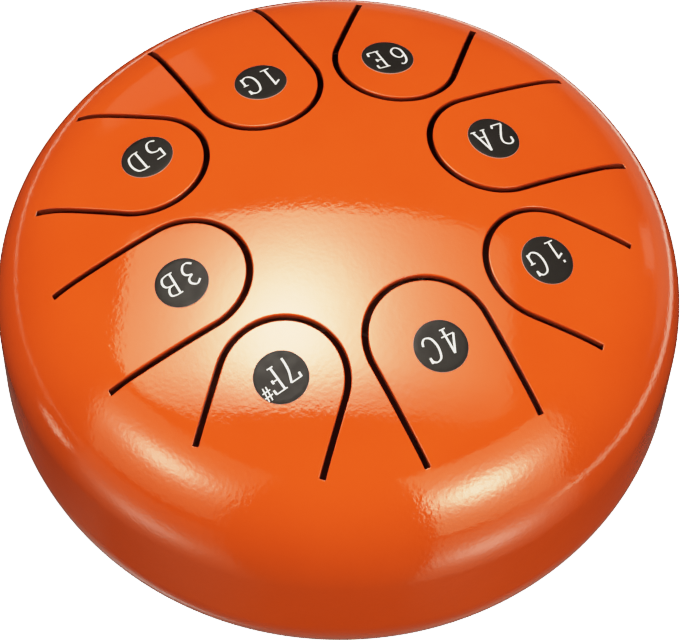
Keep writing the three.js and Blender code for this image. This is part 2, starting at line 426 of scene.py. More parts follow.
def cut_wall():
    """The slots' walls: enamel colour near the top edge, and painted shade in darker brown below it."""
    finish, place = new_finish("cut_wall")
    # Painted shade: a mottled darker brown that stands for the shade deep in the narrow cut.
    scale = mixed(noise(place, 0.7 * mm, 3), (0.22, 0.030, 0.008, 1), (0.38, 0.045, 0.010, 1))
    from_centre = distance(place, (0, 0, crown_centre))
    # 1 near the top edge, where the wall keeps the enamel colour and is glossier, and 0 deeper down, in the
    # painted shade.
    painted = between(from_centre, crown_radius - 1.0 * mm, crown_radius - 0.3 * mm)
    colour = mixed(painted, scale, (0.80, 0.085, 0.010, 1))
    grain = noise(place, 0.3 * mm, 2)
    normal = bumped(grain, 0.02 * mm)
    rough = 0.45 - painted * 0.3
    return finished(finish, place, {"Base Color": colour, "Roughness": rough, "Normal": normal})


def bare_inside():
    """The drum's inside: dark pickled steel under a thin orange overspray."""
    finish, place = new_finish("bare_inside")
    spray = between(noise(place, 18 * mm, 4), 0.4, 0.75)
    colour = mixed(spray, (0.22, 0.035, 0.014, 1), (0.42, 0.045, 0.010, 1))
    grain = noise(place, 0.8 * mm, 4)
    normal = bumped(grain, 0.03 * mm)
    rough = between(noise(place, 6 * mm), 0.3, 0.7, 0.5, 0.75)
    return finished(finish, place, {"Base Color": colour, "Roughness": rough, "Normal": normal})


enamel = orange_enamel()
shell_finishes = [enamel, cut_wall(), bare_inside()]
tongue_slots = [
    (face_up, slot_width / 2, tongue_slot(radians(45 * order - 90), arc_centre, root_radius))
    for order, (_, arc_centre, root_radius) in enumerate(tongue_sizes)
]
top_sheet = shell_piece("top_shell_sheet", tongue_slots, Matrix.Identity(4), shell_finishes)
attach(top_sheet, "root")
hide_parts("top_shell")

# Bottom shell
# The same pressing the other way up, enamelled too. A round sound hole in its middle lets the body
# breathe and a hand in, and three small holes take the screws of the feet.

sound_hole_radius = 28 * mm
screw_hole_radius = 2.25 * mm
foot_circle_radius = 55 * mm
foot_turns = [radians(90 + 120 * index) for index in range(3)]
foot_tilt = asin(foot_circle_radius / crown_radius)

turned_over = (
    Matrix.Translation((0, 0, seam)) @ Matrix.Rotation(pi, 4, "X") @ Matrix.Translation((0, 0, -seam))
)
shell_holes = [(face_up, sound_hole_radius, round_hole(180))]
for turn in foot_turns:
    screw_axes = Matrix.Rotation(-turn, 3, "Z") @ Matrix.Rotation(foot_tilt, 3, "Y")
    shell_holes.append((screw_axes, screw_hole_radius, round_hole(32)))
bottom_sheet = shell_piece("bottom_shell_sheet", shell_holes, turned_over, shell_finishes)
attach(bottom_sheet, "root")
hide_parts("bottom_shell")

# Seam weld
# The bead that fills the gap between the two rims. It is ground flush and enamelled over outside, and
# inside its root stands a little proud, with the ripples that the torch left.

root_height = 0.6 * mm
root_profile = [(-0.6 * mm, 0.7), (-0.25 * mm, 1), (0.25 * mm, 1), (0.6 * mm, 0.7)]
ripple = 0.08 * mm
ripple_count = 320
sway_count = 37


def turned_mesh(name, rows):
    """A mesh from rows of points, each row a ring, with the last row joined to the first."""
    points = [point for row in rows for point in row]
    count = len(rows[0])
    faces = []
    for row in range(len(rows)):
        this = row * count
        later = (row + 1) % len(rows) * count
        for step in range(count):
            follow = (step + 1) % count
            faces.append((this + step, later + step, later + follow, this + follow))
    mesh = bpy.data.meshes.new(name)
    mesh.from_pydata(points, [], faces)
    mesh.shade_smooth()
    mesh.set_sharp_from_angle(angle=radians(32))
    return mesh


def ring(radius, height, count):
    """A level ring of points about the drum's axis."""
    turns = [2 * pi * step / count for step in range(count)]
    return [Vector((radius * cos(turn), radius * sin(turn), height)) for turn in turns]


bead_around = 960
bead_rows = [
    ring(shell_radius, seam + weld_gap / 2, bead_around),
    ring(shell_radius, seam - weld_gap / 2, bead_around),
    ring(shell_radius - sheet, seam - weld_gap / 2, bead_around),
]
for level, share in root_profile:
    row = []
    for step in range(bead_around):
        turn = 2 * pi * step / bead_around
        wave = ripple * (sin(turn * ripple_count + 1.5 * level / mm) + 0.6 * sin(turn * sway_count))
        radius = shell_radius - sheet - share * (root_height - ripple) - wave
        row.append(Vector((radius * cos(turn), radius * sin(turn), seam + level)))
    bead_rows.append(row)
bead_rows.append(ring(shell_radius - sheet, seam + weld_gap / 2, bead_around))
bead = placed(turned_mesh("seam_bead", bead_rows), [enamel])
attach(bead, "root")
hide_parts("seam_weld")

# Note labels
# Round stickers of charcoal vinyl, one on each tongue, printed in white with the note's figure and
# letter. They are read from the player's side, and some are stuck on a few degrees askew.

label_radius = 7.7 * mm
label_lift = 0.16 * mm
label_edge = 0.05 * mm
pen_thick = 0.62 * mm
pen_thin = 0.34 * mm

# Each sign: its strokes, drawn in a box that is 8 high, or as high as sign_heights says
sign_heights = {"#": 3.4, ".": 0.7}
glyphs = {
    "1": [[(0.1, 6.5), (1.7, 7.6)], [(1.8, 8), (1.8, 0.2)], [(0.4, 0.2), (3.2, 0.2)]],
    "2": [
        [(0.15, 5.6), (0.4, 7.2), (1.8, 7.8), (3.3, 6.9), (3.2, 5.2), (1.9, 2.9), (0.3, 0.5)],
        [(0.2, 0.25), (3.7, 0.25)],
        [(3.5, 0.3), (3.9, 1.3)],
    ],
    "3": [
        [(0.2, 6.8), (1.6, 7.8), (3, 6.7), (2.9, 5.2), (1.5, 4.3)],
        [(1.5, 4.3), (3.1, 3.6), (3.5, 2.1), (2.6, 0.4), (1.3, 0.15), (0.1, 1.1)],
    ],
    "4": [
        [(2.6, 8), (2.6, 0.2)],
        [(2.6, 8), (0.15, 2.4)],
        [(0.15, 2.35), (3.9, 2.35)],
        [(1.6, 0.2), (3.4, 0.2)],
    ],
    "5": [
        [(0.6, 7.6), (3.2, 7.7)],
        [(0.6, 7.7), (0.5, 4.4)],
        [(0.5, 4.4), (1.6, 4.9), (3.2, 4.2), (3.6, 2.5), (2.8, 0.6), (1.5, 0.2), (0.3, 0.9)],
    ],
    "6": [
        [
            (3.2, 7.4), (2.2, 7.6), (0.9, 6.2), (0.3, 3.2), (0.6, 1), (1.9, 0.2),
            (3.3, 1.2), (3.6, 2.7), (3, 4.2), (1.9, 4.7), (0.6, 3.9),
        ],
    ],
    "7": [
        [(0.3, 7.6), (3.5, 7.6)],
        [(0.3, 7.7), (0.15, 6.2)],
        [(3.5, 7.6), (2.3, 4.5), (1.9, 2.2), (1.8, 0.1)],
    ],
    "A": [
        [(2.2, 8), (0.6, 0.2)],
        [(2.2, 8), (3.9, 0.2)],
        [(1.1, 2.7), (3.3, 2.7)],
        [(-0.1, 0.2), (1.5, 0.2)],
        [(3, 0.2), (4.7, 0.2)],
    ],
    "B": [
        [(0.9, 8), (0.9, 0.2)],
        [(0.1, 7.8), (2.2, 7.8)],
        [(2, 7.8), (3.3, 7.3), (3.5, 6), (2.9, 4.7), (1.9, 4.3)],
        [(0.9, 4.3), (2, 4.3)],
        [(1.9, 4.3), (3.5, 3.8), (4, 2.3), (3.4, 0.7), (2, 0.2)],
        [(0.1, 0.2), (2.2, 0.2)],
    ],
    "C": [
        [
            (3.8, 5.9), (3.5, 7.2), (2.4, 7.85), (0.9, 7), (0.2, 4), (0.8, 1.1),
            (2.3, 0.15), (3.4, 0.8), (3.9, 2.1),
        ],
        [(3.8, 7.7), (3.8, 5.9)],
    ],
    "D": [
        [(0.9, 7.8), (0.9, 0.2)],
        [(0.1, 7.8), (1.9, 7.8)],
        [(0.1, 0.2), (1.9, 0.2)],
        [(1.8, 7.8), (3.5, 6.9), (4.2, 4), (3.5, 1.1), (1.8, 0.2)],
    ],
    "E": [
        [(0.9, 7.8), (0.9, 0.2)],
        [(0.1, 7.8), (3.6, 7.8)],
        [(0.1, 0.2), (3.8, 0.2)],
        [(0.9, 4.2), (2.6, 4.2)],
        [(3.6, 7.8), (3.7, 6.3)],
        [(3.8, 0.2), (4, 1.7)],
        [(2.6, 3.6), (2.6, 4.8)],
    ],
    "F": [
        [(0.9, 7.8), (0.9, 0.2)],
        [(0.1, 7.8), (3.6, 7.8)],
        [(0.1, 0.2), (1.9, 0.2)],
        [(0.9, 4.2), (2.6, 4.2)],
        [(3.6, 7.8), (3.7, 6.3)],
        [(2.6, 3.6), (2.6, 4.8)],
    ],
    "G": [
        [
            (4, 6.2), (3.6, 7.3), (2.5, 7.9), (0.9, 7), (0.2, 4), (0.7, 1.2),
            (2.2, 0.1), (3.5, 0.7), (3.9, 1.4),
        ],
        [(3.9, 3.6), (3.9, 0.3)],
        [(3, 3.6), (4.6, 3.6)],
        [(4, 7.8), (4, 6)],
    ],
    "#": [
        [(0.6, 0), (1.1, 3.4)],
        [(1.6, 0), (2.1, 3.4)],
        [(0, 1.1), (2.5, 1.1)],
        [(0.1, 2.3), (2.6, 2.3)],
    ],
    ".": [[(0, 0), (0, 0.7)]],
}
# Each label: degrees askew, then its signs with the left, the bottom and the height of each, in millimetres
label_print = {
    "1G": (0, [("1", -5.1, -4.3, 7.9), ("G", 0.6, -4.3, 8.2)]),
    "5D": (5, [("5", -5.0, -4.7, 8.2), ("D", 1.1, -3.9, 7.9)]),
    "3B": (0, [("3", -5.2, -4.75, 7.75), ("B", 0.8, -4.6, 7.5)]),
    "7Fsharp": (5, [("7", -4.9, -4.5, 7.9), ("F", 0.1, -4.1, 7.7), ("#", 4.4, -0.2, 4.2)]),
    "4C": (1, [("4", -5.1, -4.25, 7.75), ("C", 0.7, -3.9, 7.8)]),
    "1G_high": (5.5, [("1", -5.3, -4.9, 5.9), (".", -4.5, 2.0, 0.7), ("G", 1.0, -4.0, 7.6)]),
    "2A": (1, [("2", -5.4, -4.6, 8.3), ("A", 1.0, -4.0, 7.9)]),
    "6E": (-3, [("6", -5.7, -3.6, 8.3), ("E", 1.0, -4.0, 8.0)]),
}


def smooth_line(points, steps=6):
    """Points of a curve that runs smoothly through the given ones."""
    line = []
    ends = [2 * points[0] - points[1], *points, 2 * points[-1] - points[-2]]
    for before, start, end, after in zip(ends, ends[1:], ends[2:], ends[3:]):
        for step in range(steps):
            t = step / steps
            line.append(
                (
                    2 * start
                    + (end - before) * t
                    + (2 * before - 5 * start + 4 * end - after) * t**2
                    + (3 * start - before - 3 * end + after) * t**3
                )
                / 2
            )
    return line + [points[-1]]


def pen_stroke(points, thick):
    """A stroke of a broad pen, thick upright and thin level, as four-cornered patches."""
    line = smooth_line(points) if len(points) > 2 else points
    ways = [(after - before).normalized() for before, after in zip(line[:1] + line, line[1:] + line[-1:])]
    sides = []
    for place, way in zip(line, ways):
        half = (pen_thin + (thick - pen_thin) * abs(way.y)) / 2
        across = Vector((-way.y, way.x)) * half
        sides.append((place + across, place - across))
    return [[a, b, d, c] for (a, b), (c, d) in zip(sides, sides[1:])]


def label_piece(note, finishes):
    """One sticker, cut into print and ground, and bent to the crown."""
    askew, signs = label_print[note]
    patches = []
    for sign, left, bottom, height in signs:
        tall = sign_heights.get(sign, 8)
        pen = pen_thin if sign == "#" else pen_thick
        for stroke in glyphs[sign]:
            points = [Vector((left + x, bottom + y * height / tall)) * mm for x, y in stroke]
            patches += pen_stroke(points, pen)
    label_low, label_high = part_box("note_label_" + note)
    middle = (label_low + label_high) / 2
    out = skin_normal(Vector((middle.x, middle.y, skin_height(hypot(middle.x, middle.y), 0))))
    across = Vector((0, 1, 0)).cross(out).normalized()
    text = Matrix((across, out.cross(across), out)).transposed() @ Matrix.Rotation(radians(askew), 3, "Z")

    def on_crown(x, y, lift):
        way = (text @ Vector((x, y, crown_radius))).normalized()
        return Vector((0, 0, crown_centre)) + way * (crown_radius + lift)

    top_radius = label_radius - label_edge
    rim = [way * top_radius for way in ways_round(0, 2 * pi, 96)[:-1]]
    spots, triangles, _, owners = net([rim, *patches], top_radius, 1.2 * mm)
    points = [on_crown(*spot, label_lift) for spot in spots]
    faces = [list(triangle) for triangle in triangles]
    printed = [1 if owner else 0 for owner in owners]
    edge_profile = [
        (label_radius - 0.3 * label_edge, label_lift - 0.3 * label_edge),
        (label_radius, label_lift - label_edge),
        (label_radius, 0.01 * mm),
    ]
    upper = spots_at(rim, spots)
    for radius, lift in edge_profile:
        lower = []
        for corner in rim:
            points.append(on_crown(*(corner * (radius / top_radius)), lift))
            lower.append(len(points) - 1)
        faces += band(upper, lower)
        upper = lower
    faces.append(list(reversed(upper)))
    mesh = bpy.data.meshes.new("note_sticker_" + note)
    mesh.from_pydata(points, [], faces)
    for face in mesh.polygons:
        face.material_index = printed[face.index] if face.index < len(printed) else 2
    mesh.shade_smooth()
    mesh.set_sharp_from_angle(angle=radians(35))
    return placed(mesh, finishes)


def charcoal_vinyl():
    """Satin charcoal vinyl with a fine grain."""
    finish, place = new_finish("charcoal_vinyl")
    grain = noise(place, 0.25 * mm, 3)
    colour = mixed(grain, (0.0065, 0.0045, 0.0038, 1), (0.0110, 0.0080, 0.0068, 1))
    normal = bumped(grain, 0.006 * mm)
    return finished(
        finish,
        place,
        {
            "Base Color": colour,
            "Roughness": between(noise(place, 3 * mm), 0.3, 0.7, 0.48, 0.58),
            "IOR": 1.46,
            "Specular Tint": (1, 0.94, 0.88, 1),
            "Normal": normal,
        },
    )


def label_ink():
    """White screen print, a little thin in places."""
    finish, place = new_finish("label_ink")
    worn = between(noise(place, 0.5 * mm, 3), 0.35, 0.6)
    colour = mixed(worn, (0.88, 0.88, 0.87, 1), (0.95, 0.95, 0.94, 1))
    return finished(finish, place, {"Base Color": colour, "Roughness": 0.45})


def vinyl_edge():
    """The sticker's cut edge, where the pale film shows beside the dark print."""
    finish, place = new_finish("vinyl_edge")
    colour = mixed(noise(place, 0.6 * mm), (0.40, 0.26, 0.20, 1), (0.60, 0.44, 0.36, 1))
    return finished(finish, place, {"Base Color": colour, "Roughness": 0.5})


label_finishes = [charcoal_vinyl(), label_ink(), vinyl_edge()]
for note, _, _ in tongue_sizes:
    sticker = label_piece(note, label_finishes)
    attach(sticker, "root")
    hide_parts("note_label_" + note)

# Rubber feet
# Three moulded feet in black rubber hold the sound hole clear of the table. Each is a short cone with
# its top moulded to the shell's slope, a ribbed sole, and a well that hides the screw's head.

foot_top_radius = 10.5 * mm
foot_toe_radius = 9.5 * mm
foot_edge_radius = 1.2 * mm
foot_well_radius = 4.9 * mm
foot_bore_radius = 2.25 * mm
rubber_under_head = 3.5 * mm
foot_around = 64
sole_grooves = (6.0 * mm, 7.3 * mm)
groove_depth = 0.5 * mm
base_centre = 2 * seam - crown_centre
foot_seat = base_centre - sqrt(crown_radius**2 - foot_circle_radius**2)


def foot_axes(turn):
    """A screw's own axes: from the point where it crosses the shell's outside, with +Z into the drum."""
    spot = Matrix.Translation((foot_circle_radius * cos(turn), foot_circle_radius * sin(turn), foot_seat))
    return spot @ Matrix.Rotation(turn, 4, "Z") @ Matrix.Rotation(-foot_tilt, 4, "Y")


def foot_mesh(name, turn):
    """A foot as one run of rings: grooved sole, toe, side, top, bore and well."""
    axes = foot_axes(turn)
    shift = foot_seat * tan(foot_tilt) / 2
    centre = Vector((cos(turn), sin(turn), 0)) * (foot_circle_radius + shift)
    turns = [2 * pi * step / foot_around for step in range(foot_around)]

    def upright(radius, height):
        ways = [Vector((cos(turn + a), sin(turn + a), 0)) for a in turns]
        return [centre + way * radius + Vector((0, 0, height)) for way in ways]

    def under_shell(radius, gap):
        row = upright(radius, 0)
        for point in row:
            point.z = base_centre - sqrt((crown_radius + gap) ** 2 - point.x**2 - point.y**2)
        return row

    def along_screw(radius, level):
        return [axes @ Vector((radius * cos(a), radius * sin(a), level)) for a in turns]

    def at_height(radius, height):
        row = []
        lean = axes.to_3x3() @ Vector((0, 0, 1))
        for point in along_screw(radius, 0):
            row.append(point + lean * ((height - point.z) / lean.z))
        return row

    rows = [at_height(foot_well_radius, 0.4 * mm), at_height(foot_well_radius + 0.3 * mm, 0)]
    for groove in sole_grooves:
        rows += [upright(groove, 0), upright(groove + 0.15 * mm, groove_depth)]
        rows += [upright(groove + 0.55 * mm, groove_depth), upright(groove + 0.7 * mm, 0)]
    for step in range(6):
        a = pi / 2 * step / 5
        edge_inset = foot_edge_radius * (1 - sin(a))
        rows.append(upright(foot_toe_radius - edge_inset, foot_edge_radius * (1 - cos(a))))
    for inset, gap in ((0, 0.9), (0.06, 0.45), (0.4, 0.08), (0.9, 0.03), (3.5, 0.03)):
        rows.append(under_shell(foot_top_radius - inset * mm, gap * mm))
    rows.append(along_screw(4 * mm, -0.06 * mm))
    rows.append(along_screw(foot_bore_radius, -0.06 * mm))
    rows.append(along_screw(foot_bore_radius, -rubber_under_head))
    rows.append(along_screw(foot_well_radius, -rubber_under_head))
    return turned_mesh(name, rows)


def foot_rubber():
    """Matt black moulded rubber, dusted grey where it is handled."""
    finish, place = new_finish("foot_rubber")
    dust = between(noise(place, 2.5 * mm, 5), 0.45, 0.8)
    colour = mixed(dust, (0.012, 0.012, 0.013, 1), (0.030, 0.029, 0.028, 1))
    skin = noise(place, 0.3 * mm, 3)
    normal = bumped(skin, 0.02 * mm)
    return finished(finish, place, {"Base Color": colour, "Roughness": dust * 0.15 + 0.6, "Normal": normal})


rubber = foot_rubber()
for index, turn in enumerate(foot_turns, 1):
    foot = placed(foot_mesh(f"rubber_foot_{index}", turn), [rubber])
    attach(foot, "root")
    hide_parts(f"foot_{index}")

# Foot washers
# Stamped zinc-plated washers, at the top of the feet's wells. They spread the screw's pull over the
# rubber, and their edge is sheared on one side and rounded on the other.

washer_radius = 4.5 * mm
washer_bore_radius = 2.25 * mm
washer_top = -rubber_under_head - 0.05 * mm
washer_thickness = 0.8 * mm


def screw_ring(axes, radius, level, count):
    """A ring of points about a screw's axis."""
    turns = [2 * pi * step / count for step in range(count)]
    return [axes @ Vector((radius * cos(a), radius * sin(a), level)) for a in turns]


def washer_mesh(name, axes):
    """A washer with a rolled edge below and a sheared edge above."""
    low = washer_top - washer_thickness
    profile = [
        (washer_bore_radius, washer_top),
        (washer_bore_radius, low + 0.15 * mm),
        (washer_bore_radius + 0.15 * mm, low),
        (washer_radius - 0.3 * mm, low),
        (washer_radius - 0.1 * mm, low + 0.08 * mm),
        (washer_radius, low + 0.3 * mm),
        (washer_radius, washer_top - 0.03 * mm),
        (washer_radius - 0.03 * mm, washer_top),
    ]
    return turned_mesh(name, [screw_ring(axes, radius, level, 48)[::-1] for radius, level in profile])


def zinc_plate():
    """Bright zinc plate: pale, a little clouded, with a trace of straw and blue from its dip."""
    finish, place = new_finish("zinc_plate")
    cloud = noise(place, 1.5 * mm, 4)
    tint = mixed(between(cloud, 0.35, 0.65), (0.54, 0.56, 0.60, 1), (0.62, 0.60, 0.54, 1))
    grain = noise(place, 0.12 * mm, 2)
    normal = bumped(grain, 0.004 * mm)
    return finished(
        finish,
        place,
        {
            "Base Color": tint,
            "Metallic": 1,
            "Roughness": between(cloud, 0.3, 0.7, 0.24, 0.42),
            "Normal": normal,
        },
    )


zinc = zinc_plate()
for index, turn in enumerate(foot_turns, 1):
    washer = placed(washer_mesh(f"washer_under_head_{index}", foot_axes(turn)), [zinc])
    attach(washer, "root")
    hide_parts(f"foot_washer_{index}")

# Foot screws
# Pan-head machine screws with a cross recess, zinc plated, 4 mm across the thread. The head sits in the
# foot's well, clear of the table, and the rolled thread ends just past the nut inside the drum.

screw_radius = 2 * mm
head_radius = 3.8 * mm
head_height = 2.4 * mm
head_dome = 1.5 * mm
thread_pitch = 0.7 * mm
thread_depth = 0.3 * mm
nut_height = 3.2 * mm
head_top = washer_top - washer_thickness - 0.05 * mm
head_low = head_top - head_height
screw_tip = sheet + 0.05 * mm + nut_height + 1.25 * mm
recess_reach = 2.2 * mm
recess_half = 0.45 * mm
recess_depth = 1.4 * mm
recess_taper = 0.72
thread_steps = 6


def screw_mesh(name, axes):
    """A screw: the domed head with its cross, the neck and a helical thread to the tip."""
    arm = [
        (recess_half * 1.5, recess_half),
        (recess_reach - 0.2 * mm, recess_half),
        (recess_reach, recess_half - 0.15 * mm),
        (recess_reach, 0.15 * mm - recess_half),
        (recess_reach - 0.2 * mm, -recess_half),
        (recess_half * 1.5, -recess_half),
    ]
    cross = [Matrix.Rotation(side * pi / 2, 2) @ Vector(corner) for side in range(4) for corner in arm]
    cross.sort(key=lambda corner: atan2(corner.y, corner.x))
    dome_reach = 0.97 * head_radius
    rim = [way * dome_reach for way in ways_round(0, 2 * pi, 64)[:-1]]
    spots, triangles, _, owners = net([rim, cross], dome_reach, 0.5 * mm)

    def dome(radius):
        return head_low + head_dome * (1 - sqrt(max(0, 1 - (radius / head_radius) ** 2)))

    points = [axes @ Vector((spot.x, spot.y, dome(spot.length))) for spot in spots]
    faces = [list(reversed(triangle)) for triangle, owner in zip(triangles, owners) if not owner]

    def add_row(row):
        points.extend(row)
        return list(range(len(points) - len(row), len(points)))

    recess_floor = Vector((0, 0, head_low + recess_depth))
    floor = add_row([axes @ (corner.to_3d() * recess_taper + recess_floor) for corner in cross])
    faces += band(spots_at(cross, spots), floor)
    faces.append(floor[::-1])
    row = spots_at(rim, spots)
    profile = [(head_radius * 0.99, dome(head_radius * 0.99)), (head_radius, head_low + head_dome)]
    profile += [(head_radius, head_top - 0.1 * mm), (head_radius - 0.1 * mm, head_top)]
    profile.append((screw_radius - thread_depth / 2, head_top))
    for radius, level in profile:
        later = add_row(screw_ring(axes, radius, level, len(rim)))
        faces += band(later, row)
        row = later
    steps = round((screw_tip - head_top) / (thread_pitch / thread_steps))
    for step in range(1, steps + 1):
        level = head_top + (screw_tip - head_top) * step / steps
        fade = min(1, (level - head_top) / mm, 0.4 + (screw_tip - level) / (0.5 * mm))
        thread = []
        for index in range(len(rim)):
            a = 2 * pi * index / len(rim)
            phase = (level / thread_pitch - a / (2 * pi)) % 1
            crest = max(0, min(1, 1.3 - abs(phase - 0.5) * 3.4)) * min(1, fade)
            end = min(0, screw_tip - 0.45 * mm - level) * 0.8
            radius = screw_radius - thread_depth * (1 - crest) + end
            thread.append(axes @ Vector((radius * cos(a), radius * sin(a), level)))
        later = add_row(thread)
        faces += band(later, row)
        row = later
    faces.append(row)
    mesh = bpy.data.meshes.new(name)
    mesh.from_pydata(points, [], faces)
    mesh.shade_smooth()
    mesh.set_sharp_from_angle(angle=radians(30))
    return mesh


for index, turn in enumerate(foot_turns, 1):
    screw = placed(screw_mesh(f"pan_head_screw_{index}", foot_axes(turn)), [zinc])
    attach(screw, "root")
    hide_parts(f"foot_screw_{index}")

# Foot nuts
# Hexagon nuts inside the drum, 7 mm across the flats, pulled down on the bottom shell by the screws. Both
# ends are turned to a chamfer, and the thread's mouth is countersunk.

nut_flat = 3.5 * mm
nut_low = sheet + 0.05 * mm
nut_chamfer_radius = 3.35 * mm
nut_bore_radius = 2.02 * mm
nut_mouth = 0.35 * mm
nut_around = 96


def nut_mesh(name, axes):
    """A nut whose corners fall away at both ends as the turned chamfer cuts them."""

    def hexagon(level, side):
        row = []
        for step in range(nut_around):
            a = 2 * pi * step / nut_around
            radius = nut_flat / cos((a + pi / 6) % (pi / 3) - pi / 6)
            fall = (radius - nut_chamfer_radius) * tan(radians(30))
            row.append(axes @ Vector((radius * cos(a), radius * sin(a), level - side * fall)))
        return row

    high = nut_low + nut_height
    upper_end = [(nut_bore_radius, high - nut_mouth), (nut_bore_radius + nut_mouth, high)]
    upper_end.append((nut_chamfer_radius, high))
    lower_end = [(nut_chamfer_radius, nut_low), (nut_bore_radius + nut_mouth, nut_low)]
    lower_end.append((nut_bore_radius, nut_low + nut_mouth))
    rows = [screw_ring(axes, radius, level, nut_around) for radius, level in upper_end]
    rows += [hexagon(high, 1), hexagon(nut_low, -1)]
    rows += [screw_ring(axes, radius, level, nut_around) for radius, level in lower_end]
    return turned_mesh(name, rows)


for index, turn in enumerate(foot_turns, 1):
    nut = placed(nut_mesh(f"hexagon_nut_{index}", foot_axes(turn)), [zinc])
    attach(nut, "root")
    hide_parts(f"foot_nut_{index}")

# Camera
# A portrait lens above and behind the drum, so that the player's side is at the top of the picture.
# The roll is the slight lean of the hand-held view.

camera_azimuth = 149.12
camera_elevation = 56.45
camera_roll = 2.22
camera_distance = 768.99 * mm
camera_target = Vector((3.17, 6.63, 65.2)) * mm
image_width = 680
focal_pixels = 2609.75
sensor_width = 36

lens = bpy.data.cameras.new("portrait_lens")
lens.sensor_width = sensor_width
lens.lens = focal_pixels / image_width * sensor_width
lens.clip_start = 10 * mm
camera = bpy.data.objects.new("camera", lens)
camera_turn = (
    Matrix.Rotation(radians(camera_azimuth), 4, "Z")
    @ Matrix.Rotation(radians(90 - camera_elevation), 4, "X")
    @ Matrix.Rotation(radians(camera_roll), 4, "Z")
)
camera.matrix_world = (
    Matrix.Translation(camera_target) @ camera_turn @ Matrix.Translation((0, 0, camera_distance))
)
bpy.context.scene.collection.objects.link(camera)
bpy.context.scene.camera = camera

# Studio
# A floor that the camera sees glowing an even white, with a painted dark red shadow under the drum, a
# square soft box on each side of the camera and a wide one overhead, each with its lamp glowing through
# the cloth, and two small white cards behind that glow as lights. Diffuse light sees a darker grey copy
# of the floor. In the enamel the floor is a dark copy with painted reflections on it: a bright ring round
# the far side, what lies beyond it, one scrap of light and a glow under the rim; and a painted low wall
# shows behind.


def along(place, way):
    """How far a place lies along a way."""
    return place.node("VectorMath", {"operation": "DOT_PRODUCT"}, {0: place, 1: way}, 1)


def scaled(colour, strength):
    """A colour made brighter by a strength."""
    return strength.node("VectorMath", {"operation": "SCALE"}, {0: colour, "Scale": strength})


floor_radius = 0.6
floor_mesh = bpy.data.meshes.new("studio_floor")
floor_mesh.from_pydata([tuple(point) for point in ring(floor_radius, 0, 128)], [], [list(range(128))])
floor_finish, floor_place = new_finish("floor_with_painted_light")
# The floor has three copies: the camera sees it glowing an even white with a painted shadow under the drum,
# diffuse light sees a darker grey copy, and reflections see a dark copy with painted reflections.
seen = floor_place.node("LightPath", {}, {}, "Is Camera Ray")
soft = floor_place.node("LightPath", {}, {}, "Is Diffuse Ray")
from_axis = distance(floor_place, (0, 0, 0))
# Painted shadow under the drum: 0 within 45 mm of the axis, where the floor is painted near black and dark
# red, and 1 past 85 mm.
open_floor = between(from_axis, 0.045, 0.085)
pale_tone = mixed(open_floor, (0.01, 0.002, 0.002, 1), (0.80, 0.80, 0.80, 1))
# The pale floor's diffuse colour, with the painted shadow under the drum.
pale = floor_place.node("BsdfDiffuse", {}, {"Color": pale_tone})
# The floor glows an even white to the camera, and a faint dark red in the painted shadow under the drum.
glow_tone = mixed(open_floor, (0.016, 0.003, 0.002, 1), (4, 4, 4, 1))
glow = floor_place.node("Emission", {}, {"Color": glow_tone, "Strength": 1})
shown_floor = floor_place.node("AddShader", {}, {0: pale, 1: glow})
# Painted shade: diffuse light sees a darker grey copy of the floor than the camera does.
soft_floor = floor_place.node("BsdfDiffuse", {}, {"Color": (0.16, 0.16, 0.16, 1)})
toward = Vector((sin(radians(camera_azimuth)), -cos(radians(camera_azimuth)), 0))
rightward = Vector((-toward.y, toward.x, 0))
nearness = along(floor_place, toward)
asideness = along(floor_place, rightward)


def from_spot(right, near):
    """How far a place on the floor is from a spot that lies to the camera's right and near it."""
    return distance(floor_place, rightward * right + toward * near)


# Painted reflections: a bright ring round the far side, light beyond it, one scrap of light and a glow under
# the rim, glowing on the floor only where reflections see it.
outer_edge = between(from_spot(-0.09, 0.09), 0.362, 0.374, 1, 0)
inner_edge = between(from_spot(-0.103, 0.09), 0.336, 0.348)
not_near = between(nearness, 0.14, 0.20, 1, 0)
bright_ring = outer_edge * inner_edge * not_near * between(asideness, -0.3, 0, 2.8, 1.6)
far_right = between(nearness, -0.12, -0.04, 1, 0) * between(asideness, -0.1, 0.05)
beyond = (1 - outer_edge) * far_right * 0.25
scrap = between(from_spot(-0.245, 0.078), 0.012, 0.036, 1, 0) * 2.2
under_rim = between(from_axis, 0.092, 0.125, 0.17, 0)
# Painted shade: reflections see a dark copy of the floor, glossy towards the camera and dull elsewhere.
near_side = between(nearness, 0.04, 0.13)
glass_top = floor_place.node(
    "BsdfPrincipled",
    {},
    {"Base Color": (0.03, 0.03, 0.03, 1), "Roughness": 0.1, "IOR": 2.6},
)
dull_top = floor_place.node("BsdfDiffuse", {}, {"Color": (0.02, 0.02, 0.02, 1)})
dark_top = near_side.node("MixShader", {}, {0: near_side, 1: dull_top, 2: glass_top})
# The painted reflections glow a warm white on the dark copy of the floor.
lit_tone = scaled((1, 0.91, 0.80), bright_ring + beyond + scrap + under_rim)
lit_top = floor_place.node("Emission", {}, {"Color": lit_tone, "Strength": 1})
mirrored_top = floor_place.node("AddShader", {}, {0: dark_top, 1: lit_top})
# Diffuse light gets the grey copy, reflections the dark copy with its painted reflections, and the camera the
# glowing floor.
mirrored = soft.node("MixShader", {}, {0: soft, 1: mirrored_top, 2: soft_floor})
floor_surface = seen.node("MixShader", {}, {0: seen, 1: mirrored, 2: shown_floor})
floor_place.node("OutputMaterial", {}, {"Surface": floor_surface})
studio_floor = placed(floor_mesh, [floor_finish])


def studio_way(azimuth, elevation):
    """The way from the drum to a place in the studio, turned from the camera's side to its right."""
    turn = radians(camera_azimuth + azimuth)
    level = cos(radians(elevation))
    return Vector((sin(turn) * level, -cos(turn) * level, sin(radians(elevation))))


